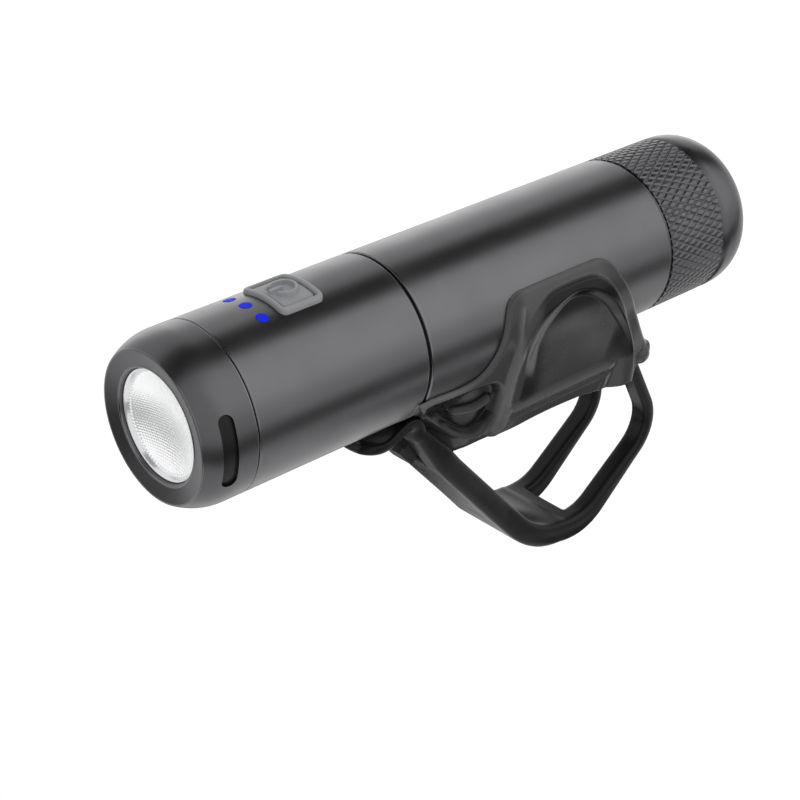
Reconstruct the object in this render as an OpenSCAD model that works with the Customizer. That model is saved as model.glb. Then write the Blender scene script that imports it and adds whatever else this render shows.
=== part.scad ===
// Handlebar headlight: a turned aluminium torch held by a silicone saddle and strap.
// Millimetres. The origin is the handlebar's centre, +X is the beam, +Z is up.

/* [Torch] */
// Outside diameter of the light
torch_d = 30; // [29:0.5:34]
// Length of the front ring
bezel_l = 9.7; // [9:0.1:12]
// Length of the head with the button
head_l = 36.3; // [36:0.1:44]
// Length of the battery tube between head and tail cap
tube_l = 58.8; // [58:0.2:70]
// Length of the tail cap
cap_l = 26.2; // [24:0.2:32]
// Wall of the head
head_wall = 2.4; // [2:0.1:2.8]
// Wall of the battery tube
tube_wall = 2.8; // [2.4:0.1:3.2]

/* [Front ring] */
// Diameter of the front face
face_d = 26.2; // [25:0.2:28]
// How far the front face dips towards the lens opening
face_dip = 0.7; // [0.3:0.1:0.9]
// Length of the round shoulder behind the face
shoulder_l = 6.2; // [4:0.1:8]
// Diameter of the lens opening
aperture_d = 19.4; // [17:0.2:20]
// Thickness of the lip in front of the lens
lip_t = 2; // [1.6:0.1:2.4]
// How far the lens lies behind the face
lens_recess = 1.2; // [0.4:0.1:1.4]
// Width of the side slots along the light
slot_w = 2.6; // [2:0.1:3]
// Height of the side slots
slot_h = 12.8; // [8:0.2:15]
// Middle of the side slots behind the face
slot_s = 4.3; // [4.2:0.1:4.6]
// Depth of the lens cone behind its flange
optic_l = 6.8; // [5:0.1:8]

/* [Button and indicators] */
// Length of the button frame along the light
button_l = 8.8; // [7:0.1:11]
// Width of the button frame across the light
button_w = 11; // [9:0.1:12]
// Width of the frame round the pad
button_rim = 1; // [0.8:0.1:1.8]
// Height of the frame over the head
button_rise = 0.8; // [0.5:0.1:1.2]
// Middle of the button behind the face
button_s = 27; // [25.6:0.1:29]
// Travel of the pad
button_travel = 0.5; // [0.3:0.05:0.6]
// Diameter of an indicator
dot_d = 2.1; // [1.6:0.1:2.8]
// Middle of the indicators behind the face
dot_s = 19.4; // [19.2:0.1:19.8]
// Angle between neighbouring indicators
dot_angle = 16.5; // [15:0.5:22]

/* [Electronics] */
// Diameter of the battery cell
cell_d = 18.4; // [14:0.1:18.6]
// Length of the battery cell
cell_l = 65.2; // [60:0.1:66]
// Height of the main board over the light's axis
board_z = 7; // [6.6:0.1:7.4]
// Thickness of the circuit boards
board_t = 1.6; // [1:0.1:2]
// Width of the charge port
port_w = 7.6; // [7:0.1:9]
// Height of the charge port
port_h = 2.8; // [2.6:0.1:3.4]
// Thickness of the heat sink
sink_t = 3.6; // [2.4:0.1:3.8]

/* [Tail] */
// Length of the neck that the tail cap screws on
neck_l = 11; // [10:0.2:14]
// Wall of the tail cap over the neck
cap_wall = 1.9; // [1.6:0.1:2.2]
// Length of the knurled band
knurl_l = 14.6; // [10:0.2:15]
// Length of the domed end
dome_l = 9.4; // [7:0.2:10]
// Roundness of the dome, where 2 is an ellipse
dome_power = 2.5; // [2:0.1:4]

/* [Mount] */
// Diameter of the handlebar
bar_d = 25.4; // [25.4:0.1:27]
// Distance of the handlebar behind the front face
bar_s = 86; // [84:0.5:90]
// Thickness of the saddle between handlebar and light
base_h = 9.8; // [9:0.1:12]
// Half width of the saddle's flanks at their foot
base_half_w = 8.5; // [8:0.1:9.5]
// Depth that the seat reaches down round the handlebar
seat_depth = 1.5; // [1.2:0.1:2]
// Thickness of the panel on the saddle's wings
wing_t = 1.85; // [1.6:0.05:2.4]
// Thickness of the skirt round that panel
skirt_t = 0.9; // [0.6:0.1:1.2]
// Half width of the saddle in the hollow between the panel and the lip
hollow_side = 9; // [8:0.1:10]
// Height of the wings over the light's axis
wing_rise = 7; // [4:0.2:9]
// Length of the wings' top edge
wing_l = 23; // [18:0.5:26]
// Thickness of the lip under the head
lip_wall = 1.1; // [0.8:0.1:1.4]
// Reach of the lip past the seam behind the head
lip_over = 2; // [0:0.5:5]
// Width of the strap
strap_w = 18; // [16:0.2:19]
// Thickness of the strap
strap_t = 4.4; // [3.6:0.1:4.6]
// Width of each of the strap's two rear legs
leg_w = 4.3; // [3.5:0.1:5.5]
// Thickness of the rear legs at their root
root_t = 2.4; // [1.8:0.1:3]
// Slope of the strap's front leg
leg_slope = 49.5; // [48.5:0.1:51]
// Length of the pull tab
tab_l = 10.5; // [9:0.5:14]
// Width of the pull tab
tab_w = 13; // [10:0.5:16]
// Thickness of the pull tab
tab_t = 2; // [1.6:0.1:2.4]
// Width of the peg that holds the strap
peg_w = 5; // [4:0.1:6]

/* [Hidden] */
$fn = 96;
cut = 1;

// Clearances
thread_gap = 0.08;
seat_gap = 0.1;
pad_gap = 0.25;
strap_gap = 0.3;
seam_gap = 0.1;
leg_relief = 0.1;
snug = 0.05;
slack = 0.15;

// The light's main radii and stations, where a station is a distance behind the front face
torch_r = torch_d / 2;
axis_h = bar_d / 2 + base_h + torch_r;
head_s = bezel_l;
tube_s = head_s + head_l;
cap_s = tube_s + tube_l;
end_s = cap_s + cap_l;
head_bore = torch_r - head_wall;
tube_bore = torch_r - tube_wall;

// Optics, stacked from the lip backwards
bezel_wall = 1.9;
bezel_bore = torch_r - bezel_wall;
edge = 0.35;
spigot_l = 3.2;
spigot_r = bezel_bore - thread_gap;
spigot_wall = 1.4;
seat_r = spigot_r - spigot_wall;
gasket_t = 0.8;
flange_t = 1.4;
flange_r = seat_r - 2 * seat_gap;
boss_r = aperture_d / 2 - seat_gap;
flange_s = lip_t + gasket_t;
cone_s = flange_s + flange_t;
optic_s = cone_s + optic_l;
cone_r = 4;
emitter_w = 3.5;
emitter_t = 0.9;
dome_r = 1.4;
emitter_gap = 0.5;
emitter_room_r = 2.8;
emitter_room_d = 2.4;
led_board_s = optic_s + emitter_t + emitter_gap;
sink_s = led_board_s + board_t;
led_screw_r = 1;
led_screw_head_r = 1.8;
led_screw_head_t = 1.2;
led_screw_y = 7.6;
led_screw_l = 3;
holder_room_gap = 0.6;
holder_room_r = led_screw_y + led_screw_head_r + holder_room_gap;
wire_hole_r = 1.2;

// Main board and switch
board_s = sink_s + sink_t + strap_gap;
joint_l = 7;
board_half_w = sqrt(pow(head_bore, 2) - pow(board_z, 2)) - slack;
led_h = 0.7;
led_size = [1.2, 2];
switch_w = 6;
switch_h = 3;
plunger_r = 1.5;
plunger_h = 1.5;
plunger_rise = 0.8;
plunger_z = board_z + switch_h + plunger_rise;
plunger_bore_d = plunger_h - plunger_rise + button_travel + seat_gap;
stem_r = 1.8;
corner_r = 1.2;
inner_corner_r = 0.8;
pad_corner_r = 0.6;
flange_w = 1.2;
flange_h = 0.9;
pad_sink = 0.4;
mark_h = 0.3;
mark_r = 2.5;
mark_w = 0.7;
mark_gap_angle = 32;
mark_bar = [0.2, 2.8];

// Battery tube, cell and port
joint_wall = 1.6;
joint_r = torch_r - joint_wall;
joint_gap = 0.6;
seal_inset = 0.7;
neck_r = torch_r - cap_wall;
neck_wall = 1.7;
neck_bore = neck_r - neck_wall;
neck_step = 1.5;
neck_end_s = cap_s + neck_l;
sleeve_in = cell_d / 2 + slack;
sleeve_t = 1;
sleeve_inset = 0.5;
tab_metal_w = 5;
tab_metal_t = 0.3;
collar_l = 6;
plate_t = 6;
charge_board_s = neck_end_s - plate_t - board_t - seat_gap;
cell_end_s = charge_board_s - tab_metal_t;
cell_s = cell_end_s - cell_l;
nub_r = 3;
nub_h = 1;
board_clear = 1;
board_end_s = min(tube_s - joint_l, cell_s - nub_h) - board_clear;
shell_t = 0.35;
port_floor = 0.6;
port_inset = 0.2;
tongue_t = 0.7;
tongue_w = 3.6;
tongue_inset = 1.2;

// Tail cap
cap_bore = neck_r + thread_gap;
seal_inset_s = 1.2;
seal_s = cap_s + seal_inset_s;
seal_l = 1.4;
seal_h = 1;
seal_r = cap_bore + seal_h;
cap_floor = 2.4;
neck_clear = 0.4;
cap_room_r = neck_bore;
knurl_relief = 0.35;
relief_r = torch_r - knurl_relief;
relief_l = 0.5;

// Mount, in the side view with the handlebar at the origin
bar_r = bar_d / 2;
face_x = bar_s;
saddle_in = torch_r + snug;
wing_r = saddle_in + wing_t;
lip_r = saddle_in + lip_wall;
lip_reach = fwd(tube_s) + lip_over;
under_r = lip_r + strap_gap;
base_z = bar_r - seat_depth;
leave_angle = leg_slope - 90;
mid_r = bar_r + strap_t / 2;
hinge_angle = -60;
rear_start = hinge_angle - asin((strap_t / 2 + strap_gap) / mid_r);
rear_end = -124;
window_angle = -104;
along = [cos(leg_slope), sin(leg_slope)];
outward = [sin(leg_slope), -cos(leg_slope)];
peg_t = 4;
peg_tip = 1.6;
peg_lip = 0.6;
peg_root = 2;
peg_slack = 1;
peg_drop = 6.5;
peg_height = axis_h - under_r - peg_drop;
peg_u = (peg_height + mid_r * cos(leg_slope)) / sin(leg_slope);
core_half_w = 4.5;
core_rear = 6;
core_pad = 3.3;
core_z = bar_r + core_pad;
core_cover = 2;
core_screw_x = [0, 14];
core_screw_r = 1.5;
core_screw_head_r = 2.75;
core_screw_head_t = 1.9;
core_screw_bite = 2;
core_screw_l = axis_h - torch_r + core_screw_bite - core_z - core_screw_head_t;
wing_x = 9;
wing_front_r = 6;
wing_rear_r = 7;
wing_sweep = 7.5;
valley_r = 5;
valley_drop = 1.7;
crest_drop = 7.5;
crest_round = 0.5;
flank_rise = 2.7;
flank_z = base_z + flank_rise;
foot_drop = 0.6;
foot_r = 1;
pad_half_w = 6.3;
pad_rear = 9.4;
lobe_drop = 3.5;
lobe_z = flank_z - lobe_drop;
lobe_rear = 14.8;
lobe_front = 12.2;
lobe_step = 9.6;
lobe_flare = 2;
lobe_flare_x = [13, 4.5];
lobe_r = 1.2;
lobe_front_r = 3;
lobe_step_r = 4;
root_bend_r = 7.6;
root_run = 13.5;
root_in = 13;
root_lap = 6;
root_sweep = 82;
root_taper = 6;
bead_r = 2.2;
bead_out = 16.6;
bead_rise = 7;
bead_over = 1.9;
bead_half_w = base_half_w + lobe_flare + bead_over;
bead_lead = 3.1;
bead_fillet = 2;
taper_u = [12, 34];

// Relief on the saddle's flanks, in the side view
panel_drop = 2;
panel_front = 19.4;
panel_front_drop = 2.5;
panel_rear = 14.2;
panel_rear_drop = 21;
panel_lean = 4.2;
panel_in = [3.4, 5];
panel_r = 6;
panel_side_r = 2;
pocket_gap = 1.4;
pocket_z = 20.4;
pocket_front = 18.6;
pocket_rear = 12;
pocket_in = [5.4, 7];
pocket_lean = 2.4;
pocket_shoulder_drop = 4.5;
pocket_rear_rise = 1.9;
pocket_rear_in = 1;
pocket_r = 7;
pocket_foot_r = 0.8;
ledge_t = 2.75;
ledge_h = 4;
ledge_x = [-8, 16.3];
ledge_r = 0.8;
hollow_wall = 2.2;
hollow_z = [15.5, 28.6];
hollow_rear = 19;
hollow_bulge = 0.8;
hollow_top_in = 4.2;
hollow_shoulder = 4.6;
hollow_r = 3;
rib_x = [21.4, 32.6];
rib_z = [22.3, 25.1];
rib_r = 1.35;
tab_dip = 1.2;
tab_turn = 150;
tab_round = 5;

// Points and outlines

function fwd(s) = face_x - s;

function polar(r, a) = [r * cos(a), r * sin(a)];

function unit(v) = v / norm(v);

// Arc of radius r that rounds the corner b of the path a, b, c
function corner_arc(a, b, c, r, n = 8) =
    let (d0 = unit(a - b), d1 = unit(c - b), half = acos(d0 * d1) / 2)
    let (middle = b + unit(d0 + d1) * r / sin(half))
    let (p0 = b + d0 * r / tan(half) - middle, p1 = b + d1 * r / tan(half) - middle)
    let (a0 = atan2(p0[1], p0[0]), turn = (atan2(p1[1], p1[0]) - a0 + 540) % 360 - 180)
    [for (i = [0:n]) middle + polar(r, a0 + turn * i / n)];

// Closed outline through corners [x, z, radius]
function rounded(k) =
    let (m = len(k), p = [for (v = k) [v[0], v[1]]])
    [for (i = [0:m - 1]) each corner_arc(p[(i + m - 1) % m], p[i], p[(i + 1) % m], k[i][2])];

// Band of half thicknesses h along the path p
function band(p, h) =
    let (m = len(p) - 1)
    let (d = [for (i = [0:m]) unit(p[min(i + 1, m)] - p[max(i - 1, 0)])])
    let (side = [for (v = d) [-v[1], v[0]]])
    concat([for (i = [0:m]) p[i] + side[i] * h[i]], [for (i = [m:-1:0]) p[i] - side[i] * h[i]]);

// Point at height z on the line that runs beside the front leg, d from the handlebar's centre
function leg_point(d, z) = d * outward + (z + d * cos(leg_slope)) / sin(leg_slope) * along;

// Placing

module at_axis() {
    translate([0, 0, axis_h])
        rotate([0, 90, 0])
            children();
}

module rod(r, s0, s1) {
    at_axis()
        translate([0, 0, fwd(s1)])
            cylinder(r = r, h = s1 - s0);
}

module pipe(r_out, r_in, s0, s1) {
    difference() {
        rod(r_out, s0, s1);
        rod(r_in, s0 - cut, s1 + cut);
    }
}

// Solid of revolution through [station, radius] points
module turned(profile) {
    at_axis()
        rotate_extrude()
            polygon([for (p = profile) [p[1], fwd(p[0])]]);
}

module side_plate(w) {
    rotate([90, 0, 0])
        linear_extrude(w, center = true)
            children();
}

module upright(x, y, z0, z1) {
    translate([x, y, axis_h + z0])
        linear_extrude(z1 - z0)
            children();
}

module rounded_plate(lx, ly, r) {
    square([lx - 2 * r, ly], center = true);
    square([lx, ly - 2 * r], center = true);
    for (x = [-1, 1], y = [-1, 1])
        translate([x * (lx / 2 - r), y * (ly / 2 - r)])
            circle(r);
}

module bar(r) {
    rotate([90, 0, 0])
        cylinder(r = r, h = 4 * strap_w, center = true);
}

// Frame on the strap's front leg: X runs up the leg, Z points back to the handlebar
module on_leg(u) {
    p = mid_r * outward + u * along;
    translate([p[0], 0, p[1]])
        rotate([0, -leg_slope, 0])
            children();
}

// Front ring and optics

function shoulder() =
    let (d = torch_r - face_d / 2, rho = (pow(shoulder_l, 2) + pow(d, 2)) / (2 * d))
    let (sweep = asin(shoulder_l / rho), n = 12)
    [for (i = [0:n]) [shoulder_l - rho * sin(sweep * i / n), torch_r - rho + rho * cos(sweep * i / n)]];

module side_slots() {
    translate([fwd(slot_s), 0, axis_h])
        side_plate(4 * torch_r) {
            square([slot_w, slot_h - slot_w], center = true);
            for (z = [-1, 1])
                translate([0, z * (slot_h - slot_w) / 2])
                    circle(slot_w / 2);
        }
}

module bezel_ring() {
    color("#2b2b2d")
        difference() {
            turned(concat(
                [[head_s, bezel_bore], [head_s, torch_r - edge], [head_s - edge, torch_r]],
                shoulder(),
                [[0, face_d / 2 - edge], [face_dip, aperture_d / 2 + edge],
                 [face_dip + edge, aperture_d / 2], [lip_t, aperture_d / 2],
                 [lip_t, bezel_bore]]
            ));
            side_slots();
        }
}

module side_window_ring() {
    color("#1c1c1f")
        pipe(bezel_bore - thread_gap, flange_r + slack, lip_t, head_s - spigot_l);
}

module lens_gasket() {
    color("#151515")
        pipe(flange_r, boss_r + slack, lip_t, flange_s);
}

module front_lens() {
    color("#e8ebee")
        difference() {
            turned([[lens_recess, 0], [lens_recess, boss_r], [flange_s, boss_r], [flange_s, flange_r],
                    [cone_s, flange_r], [cone_s, boss_r], [optic_s, cone_r], [optic_s, 0]]);
            rod(emitter_room_r, optic_s - emitter_room_d, optic_s + cut);
        }
}

module lens_holder() {
    color("#f2f2f2")
        difference() {
            rod(seat_r - seat_gap, cone_s, led_board_s);
            turned([[cone_s - cut, 0], [cone_s - cut, boss_r + seat_gap], [cone_s, boss_r + seat_gap],
                    [optic_s, cone_r + seat_gap], [optic_s, holder_room_r],
                    [led_board_s + cut, holder_room_r], [led_board_s + cut, 0]]);
        }
}

module led_emitter() {
    color("#e6c64a")
        union() {
            translate([fwd(led_board_s), -emitter_w / 2, axis_h - emitter_w / 2])
                cube([emitter_t, emitter_w, emitter_w]);
            translate([fwd(led_board_s) + emitter_t - snug, 0, axis_h])
                difference() {
                    sphere(dome_r);
                    translate([-2 * dome_r, -2 * dome_r, -2 * dome_r])
                        cube([2 * dome_r, 4 * dome_r, 4 * dome_r]);
                }
        }
}

// Both screws of the emitter's board, each radius grown by grow
module led_screw_rods(grow) {
    for (y = [-1, 1])
        translate([0, y * led_screw_y, 0])
            rod(led_screw_r + grow, led_board_s, sink_s + led_screw_l);
}

module led_board() {
    color("#e9e9e4")
        difference() {
            rod(seat_r - seat_gap, led_board_s, sink_s);
            led_screw_rods(snug);
        }
}

module led_board_screws() {
    color("#9a9a9a")
        union() {
            led_screw_rods(0);
            for (y = [-1, 1])
                translate([0, y * led_screw_y, 0])
                    rod(led_screw_head_r, led_board_s - led_screw_head_t, led_board_s);
        }
}

module heat_sink() {
    color("#b8babd")
        difference() {
            rod(head_bore - snug, sink_s, sink_s + sink_t);
            led_screw_rods(snug);
            for (z = [-1, 1])
                translate([0, 0, z * led_screw_y])
                    rod(wire_hole_r, sink_s - cut, sink_s + sink_t + cut);
        }
}

// Head

function dot_y(i) = torch_r * sin(i * dot_angle);

module head_housing() {
    color("#2b2b2d")
        difference() {
            turned([[head_s - spigot_l, seat_r], [head_s - spigot_l, spigot_r], [head_s + seam_gap, spigot_r],
                    [head_s + seam_gap, torch_r - edge], [head_s + seam_gap + edge, torch_r],
                    [tube_s - joint_gap - edge, torch_r], [tube_s - joint_gap, torch_r - edge],
                    [tube_s - joint_gap, joint_r], [tube_s - joint_l, joint_r], [tube_s - joint_l, head_bore],
                    [sink_s, head_bore], [sink_s, seat_r]]);
            upright(fwd(button_s), 0, 0, 2 * torch_r)
                rounded_plate(button_l + 2 * seat_gap, button_w + 2 * seat_gap, corner_r + seat_gap);
            for (i = [-1:1])
                upright(fwd(dot_s), dot_y(i), 0, 2 * torch_r)
                    circle(dot_d / 2 + snug);
        }
}

module button_frame() {
    color("#5d5f62")
        difference() {
            union() {
                intersection() {
                    upright(fwd(button_s), 0, 0, 2 * torch_r)
                        rounded_plate(button_l, button_w, corner_r);
                    rod(torch_r + button_rise, button_s - button_l, button_s + button_l);
                }
                intersection() {
                    upright(fwd(button_s), 0, 0, 2 * torch_r)
                        rounded_plate(button_l + 2 * flange_w, button_w + 2 * flange_w, corner_r);
                    rod(head_bore - snug, button_s - button_l, button_s + button_l);
                }
            }
            rod(head_bore - flange_h, button_s - 2 * button_l, button_s + 2 * button_l);
            upright(fwd(button_s), 0, 0, 2 * torch_r)
                rounded_plate(button_l - 2 * button_rim, button_w - 2 * button_rim, inner_corner_r);
        }
}

// Open ring with a bar through the gap: the common mark for on and off
module power_mark() {
    difference() {
        circle(mark_r);
        circle(mark_r - mark_w);
        polygon([[0, 0], polar(3 * mark_r, -mark_gap_angle), polar(3 * mark_r, mark_gap_angle)]);
    }
    translate([mark_bar[0], -mark_w / 2])
        square([mark_bar[1] - mark_bar[0], mark_w]);
}

module button_pad() {
    pad_l = button_l - 2 * button_rim - 2 * pad_gap;
    pad_w = button_w - 2 * button_rim - 2 * pad_gap;
    pad_r = torch_r + button_rise - pad_sink;
    color("#66686b")
        union() {
            intersection() {
                upright(fwd(button_s), 0, head_bore - flange_h, 2 * torch_r)
                    rounded_plate(pad_l, pad_w, pad_corner_r);
                rod(pad_r, button_s - button_l, button_s + button_l);
            }
            intersection() {
                upright(fwd(button_s), 0, head_bore, 2 * torch_r)
                    power_mark();
                rod(pad_r + mark_h, button_s - button_l, button_s + button_l);
            }
            upright(fwd(button_s), 0, plunger_z, head_bore - flange_h)
                circle(stem_r);
        }
}

module switch_plunger() {
    color("#101010")
        upright(fwd(button_s), 0, plunger_z - plunger_h, plunger_z)
            circle(plunger_r);
}

module tact_switch() {
    color("#c9c9c9")
        difference() {
            upright(fwd(button_s), 0, board_z, board_z + switch_h)
                square(switch_w, center = true);
            upright(fwd(button_s), 0, board_z + switch_h - plunger_bore_d, board_z + switch_h + cut)
                circle(plunger_r + snug);
        }
}

module indicator_pipes() {
    color("#1f2fd8")
        for (i = [-1:1])
            intersection() {
                upright(fwd(dot_s), dot_y(i), board_z + led_h, 2 * torch_r)
                    circle(dot_d / 2);
                rod(torch_r + snug, dot_s - dot_d, dot_s + dot_d);
            }
}

module indicator_leds() {
    color("#f4f4ee")
        for (i = [-1:1])
            upright(fwd(dot_s), dot_y(i), board_z, board_z + led_h)
                square(led_size, center = true);
}

module main_board() {
    color("#1d6b3a")
        translate([fwd(board_end_s), -board_half_w, axis_h + board_z - board_t])
            cube([board_end_s - board_s, 2 * board_half_w, board_t]);
}

// Battery and tube

module cell_tabs() {
    color("#c4c6c8")
        union() {
            translate([fwd(cell_s - nub_h), -tab_metal_w / 2, axis_h - tab_metal_w / 2])
                cube([tab_metal_t, tab_metal_w, board_z - board_t + tab_metal_w / 2]);
            translate([fwd(cell_s - nub_h), -tab_metal_w / 2, axis_h + board_z - board_t - tab_metal_t])
                cube([cell_s - nub_h - board_end_s + tab_metal_w, tab_metal_w, tab_metal_t]);
            translate([fwd(charge_board_s), -tab_metal_w / 2, axis_h - tab_metal_w])
                cube([charge_board_s - cell_end_s, tab_metal_w, 2 * tab_metal_w]);
        }
}

module battery_cell() {
    color("#2f6db3")
        union() {
            rod(cell_d / 2, cell_s, cell_end_s);
            rod(nub_r, cell_s - nub_h, cell_s);
        }
}

module cell_sleeve() {
    s0 = tube_s + sleeve_inset;
    s1 = cap_s - sleeve_inset;
    color("#3a3a3a")
        union() {
            pipe(sleeve_in + sleeve_t, sleeve_in, s0, s1);
            pipe(tube_bore - seat_gap, sleeve_in, s0, s0 + collar_l);
            pipe(tube_bore - seat_gap, sleeve_in, s1 - collar_l, s1);
        }
}

module joint_seal() {
    color("#101010")
        pipe(torch_r - seal_inset, joint_r, tube_s - joint_gap, tube_s);
}

module battery_tube() {
    color("#2e2e30")
        difference() {
            turned([[tube_s - joint_l, tube_bore], [tube_s - joint_l, joint_r - thread_gap],
                    [tube_s, joint_r - thread_gap], [tube_s, torch_r - edge], [tube_s + edge, torch_r],
                    [cap_s - edge, torch_r], [cap_s, torch_r - edge], [cap_s, neck_r],
                    [neck_end_s - edge, neck_r], [neck_end_s, neck_r - edge], [neck_end_s, neck_bore],
                    [cap_s + neck_step, neck_bore], [cap_s + neck_step, tube_bore]]);
            core_screw_shanks(snug);
        }
}

module charge_board() {
    color("#1d6b3a")
        rod(neck_bore - seat_gap, charge_board_s, charge_board_s + board_t);
}

module port_block(w, h, s0, s1) {
    translate([fwd(s1), -w / 2, axis_h - h / 2])
        cube([s1 - s0, w, h]);
}

module port_plate() {
    color("#1a1a1a")
        difference() {
            rod(neck_bore - snug, neck_end_s - plate_t, neck_end_s);
            port_block(port_w + 2 * seat_gap, port_h + 2 * seat_gap, neck_end_s - plate_t - cut,
                       neck_end_s + cut);
        }
}

module charge_port() {
    color("#c8cacd")
        difference() {
            port_block(port_w, port_h, charge_board_s + board_t, neck_end_s - port_inset);
            port_block(port_w - 2 * shell_t, port_h - 2 * shell_t, charge_board_s + board_t + port_floor,
                       neck_end_s + cut);
        }
}

module port_tongue() {
    color("#0e0e0e")
        port_block(tongue_w, tongue_t, charge_board_s + board_t + port_floor, neck_end_s - tongue_inset);
}

// Tail cap

function dome() =
    let (n = 14)
    [for (i = [0:n])
        let (t = sin(90 * i / n))
        [end_s - dome_l + dome_l * t, torch_r * pow(max(0, 1 - pow(t, dome_power)), 1 / dome_power)]];

module tail_cap() {
    k0 = cap_s + seam_gap + relief_l;
    k1 = cap_s + knurl_l;
    color("#242426")
        difference() {
            turned(concat(
                [[cap_s + seam_gap, 0], [cap_s + seam_gap, relief_r], [k0, relief_r], [k0, torch_r],
                 [k1, torch_r], [k1, relief_r], [k1 + relief_l, relief_r], [k1 + relief_l, torch_r]],
                dome()
            ));
            rod(cap_bore, cap_s - cut, neck_end_s + neck_clear);
            rod(cap_room_r, cap_s - cut, end_s - dome_l / 2 - cap_floor);
            rod(seal_r, seal_s, seal_s + seal_l);
        }
}

module cap_seal() {
    color("#101010")
        pipe(seal_r - seat_gap, neck_r + snug, seal_s + seat_gap, seal_s + seal_l - seat_gap);
}

// Saddle

function saddle_outline() =
    let (front = bar_r - strap_gap, crest = axis_h - crest_drop)
    let (p0 = leg_point(front, flank_z), p1 = leg_point(front, crest - crest_round))
    let (top = axis_h + wing_rise)
    [[p0[0], p0[1], foot_r],
     [p1[0], p1[1], foot_r],
     [wing_x + wing_l / 2 + wing_sweep, crest - valley_drop, valley_r],
     [wing_x + wing_l / 2, top, wing_front_r],
     [wing_x - wing_l / 2, top, wing_rear_r],
     [-bead_out, base_z + bead_rise + bead_lead, bead_fillet],
     [-lobe_rear, lobe_z, lobe_r],
     [-lobe_front, lobe_z, lobe_front_r],
     [-lobe_front + lobe_step, flank_z, lobe_step_r]];

// Thick panel on each flank, with its front edge leaning back towards the foot
function panel_outline() =
    let (top = axis_h + wing_rise - panel_drop)
    [[panel_front - panel_lean, lobe_z - cut, foot_r],
     [panel_front, axis_h - panel_front_drop, panel_side_r],
     [wing_x + wing_l / 2 - panel_in[1], top, panel_r],
     [wing_x - wing_l / 2 + panel_in[0], top, panel_r],
     [-panel_rear, axis_h - panel_rear_drop, panel_r],
     [-lobe_rear, lobe_z - cut, foot_r]];

// Arched pocket in the panel
function pocket_outline() =
    let (top = axis_h + wing_rise - panel_drop - pocket_gap)
    [[pocket_front - pocket_lean, pocket_z, pocket_foot_r],
     [pocket_front, axis_h - pocket_shoulder_drop, pocket_foot_r],
     [wing_x + wing_l / 2 - pocket_in[1], top, pocket_r],
     [wing_x - wing_l / 2 + pocket_in[0], top, pocket_r],
     [-pocket_rear, pocket_z + pocket_rear_rise, pocket_foot_r],
     [-pocket_rear + pocket_rear_in, pocket_z, pocket_foot_r]];

// Hollow between the panel and the lip
function hollow_outline() =
    let (d = bar_r - strap_gap - hollow_wall)
    let (low = leg_point(d, hollow_z[0]), high = leg_point(d, hollow_z[1]))
    [[low[0], low[1], hollow_r / 2],
     [high[0], high[1], rib_r],
     [hollow_rear + hollow_top_in, hollow_z[1], hollow_r],
     [hollow_rear + hollow_bulge, hollow_z[1] - hollow_shoulder, hollow_r],
     [hollow_rear, hollow_z[0], hollow_r / 2]];

function box_outline(x, z, r) = [[x[0], z[0], r], [x[1], z[0], r], [x[1], z[1], r], [x[0], z[1], r]];

// Foot of the flanks for the thickness t over the light, from the light's axis, flared by grow
function foot(t, z, grow) = [base_half_w + t - wing_t + grow, z - foot_drop - axis_h];

// Where the line from v touches the circle r
function touch(r, v) = polar(r, atan2(v[1], v[0]) + acos(r / norm(v)));

// Section that hugs the light with the radius r and runs straight to the points v and -v
module hugging(r, v) {
    side = touch(r, v);
    translate([-4 * lobe_rear, 0, axis_h])
        rotate([90, 0, 90])
            linear_extrude(4 * lip_reach) {
                circle(r);
                polygon([side, v, [-v[0], v[1]], [-side[0], side[1]]]);
            }
}

module zone(outline) {
    side_plate(4 * wing_r)
        polygon(rounded(outline));
}

module raised(outline, t) {
    intersection() {
        zone(outline);
        hugging(saddle_in + t, foot(t, flank_z, 0));
    }
}

// Panel less its pocket, whose floor ramps from the skirt's thickness back to the panel's
module panel() {
    v = foot(wing_t, flank_z, 0);
    side = touch(wing_r, v);
    floor_z = pocket_z - axis_h;
    ramp = side + (v - side) * (floor_z - side[1]) / (v[1] - side[1]);
    difference() {
        raised(panel_outline(), wing_t);
        difference() {
            zone(pocket_outline());
            hugging(saddle_in + skirt_t, ramp);
        }
    }
}

// Rear lobes, which flare out from the flanks
module lobes() {
    wide = base_half_w + lobe_flare + wing_t;
    intersection() {
        union() {
            intersection() {
                zone(saddle_outline());
                hugging(saddle_in + skirt_t, foot(skirt_t, lobe_z, lobe_flare));
            }
            intersection() {
                zone(saddle_outline());
                zone(panel_outline());
                hugging(wing_r, foot(wing_t, lobe_z, lobe_flare));
            }
        }
        linear_extrude(axis_h)
            polygon([[-2 * lobe_rear, -wide], [-lobe_flare_x[0], -wide], [-lobe_flare_x[1], -base_half_w],
                     [-lobe_flare_x[1], base_half_w], [-lobe_flare_x[0], wide], [-2 * lobe_rear, wide]]);
    }
}

module seat_pad() {
    front = bar_r - strap_gap;
    side_plate(2 * pad_half_w)
        polygon([[-pad_rear, base_z], leg_point(front, base_z), leg_point(front, flank_z + cut),
                 [-pad_rear, flank_z + cut]]);
}

// Both sides of the hollow, each cut down to the flat hollow_side
module hollows() {
    for (y = [-1, 1])
        translate([0, y * (hollow_side + 2 * wing_r), 0])
            zone(hollow_outline());
}

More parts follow.
